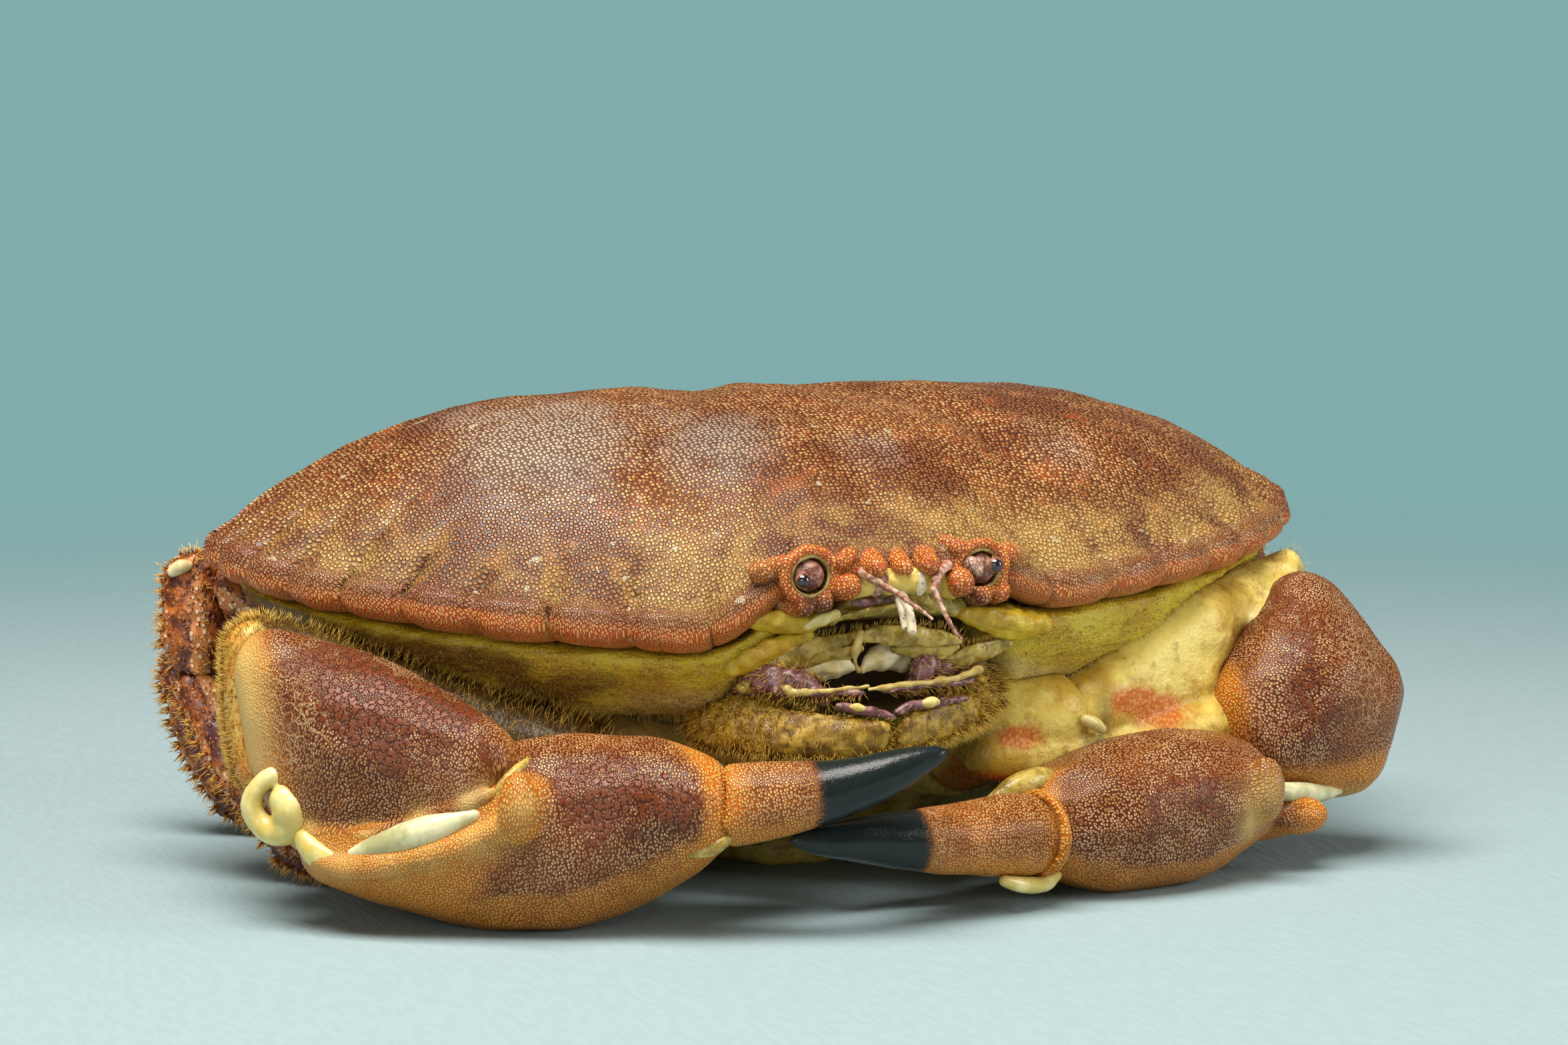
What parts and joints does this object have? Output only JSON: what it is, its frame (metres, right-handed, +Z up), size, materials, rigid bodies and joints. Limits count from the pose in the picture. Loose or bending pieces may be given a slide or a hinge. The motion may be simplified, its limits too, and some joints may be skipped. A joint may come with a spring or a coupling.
{
  "type": "crab model",
  "caption": "Life-size brown crab at rest: oval pie-crust shell, black-tipped claws folded before its open mouthparts, walking legs folded at the sides.",
  "frame": {"origin": "on the floor under the middle of the body, on the flat underside of the folded abdomen", "axes": "+Z up, the crab faces -Y, +X is the crab's left side"},
  "size_m": [0.1888, 0.1507, 0.0742],
  "materials": {
    "shell_brown": "red-brown grained shell with pale beads, satin",
    "horn_black": "polished blue-black horn",
    "cream": "smooth cream and olive-yellow shell",
    "leg_brown": "red-brown shell with rows of tufts",
    "fringe_gold": "mustard shell with a dense fringe of bristles",
    "lip_purple": "purple skin",
    "eye_dark": "dark glossy eye"
  },
  "bodies": {
    "root": {"abdomen": "cream", "antenna_left": "leg_brown", "antenna_right": "leg_brown", "antennule_left": "lip_purple", "antennule_right": "lip_purple", "breast": "cream", "carapace": "shell_brown", "cheek_left": "cream", "cheek_right": "cream", "claw_carpus_left": "shell_brown", "claw_carpus_right": "shell_brown", "claw_dactyl_left": "horn_black", "claw_dactyl_right": "horn_black", "claw_ischium_left": "cream", "claw_ischium_right": "cream", "claw_merus_left": "cream", "claw_merus_right": "cream", "claw_palm_left": "shell_brown", "claw_palm_right": "shell_brown", "eye_left": "eye_dark", "eye_right": "eye_dark", "leg1_carpus_left": "leg_brown", "leg1_carpus_right": "leg_brown", "leg1_dactyl_left": "leg_brown", "leg1_dactyl_right": "leg_brown", "leg1_merus_left": "leg_brown", "leg1_merus_right": "leg_brown", "leg1_propodus_left": "leg_brown", "leg1_propodus_right": "leg_brown", "leg2_carpus_left": "leg_brown", "leg2_carpus_right": "leg_brown", "leg2_dactyl_left": "leg_brown", "leg2_dactyl_right": "leg_brown", "leg2_merus_left": "leg_brown", "leg2_merus_right": "leg_brown", "leg2_propodus_left": "leg_brown", "leg2_propodus_right": "leg_brown", "leg3_carpus_left": "leg_brown", "leg3_carpus_right": "leg_brown", "leg3_dactyl_left": "leg_brown", "leg3_dactyl_right": "leg_brown", "leg3_merus_left": "leg_brown", "leg3_merus_right": "leg_brown", "leg3_propodus_left": "leg_brown", "leg3_propodus_right": "leg_brown", "leg4_carpus_left": "leg_brown", "leg4_carpus_right": "leg_brown", "leg4_dactyl_left": "leg_brown", "leg4_dactyl_right": "leg_brown", "leg4_merus_left": "leg_brown", "leg4_merus_right": "leg_brown", "leg4_propodus_left": "leg_brown", "leg4_propodus_right": "leg_brown", "mandible_left": "cream", "mandible_right": "cream", "maxilliped_left": "fringe_gold", "maxilliped_right": "fringe_gold", "palp_left": "lip_purple", "palp_right": "lip_purple"}
  },
  "joints": []
}
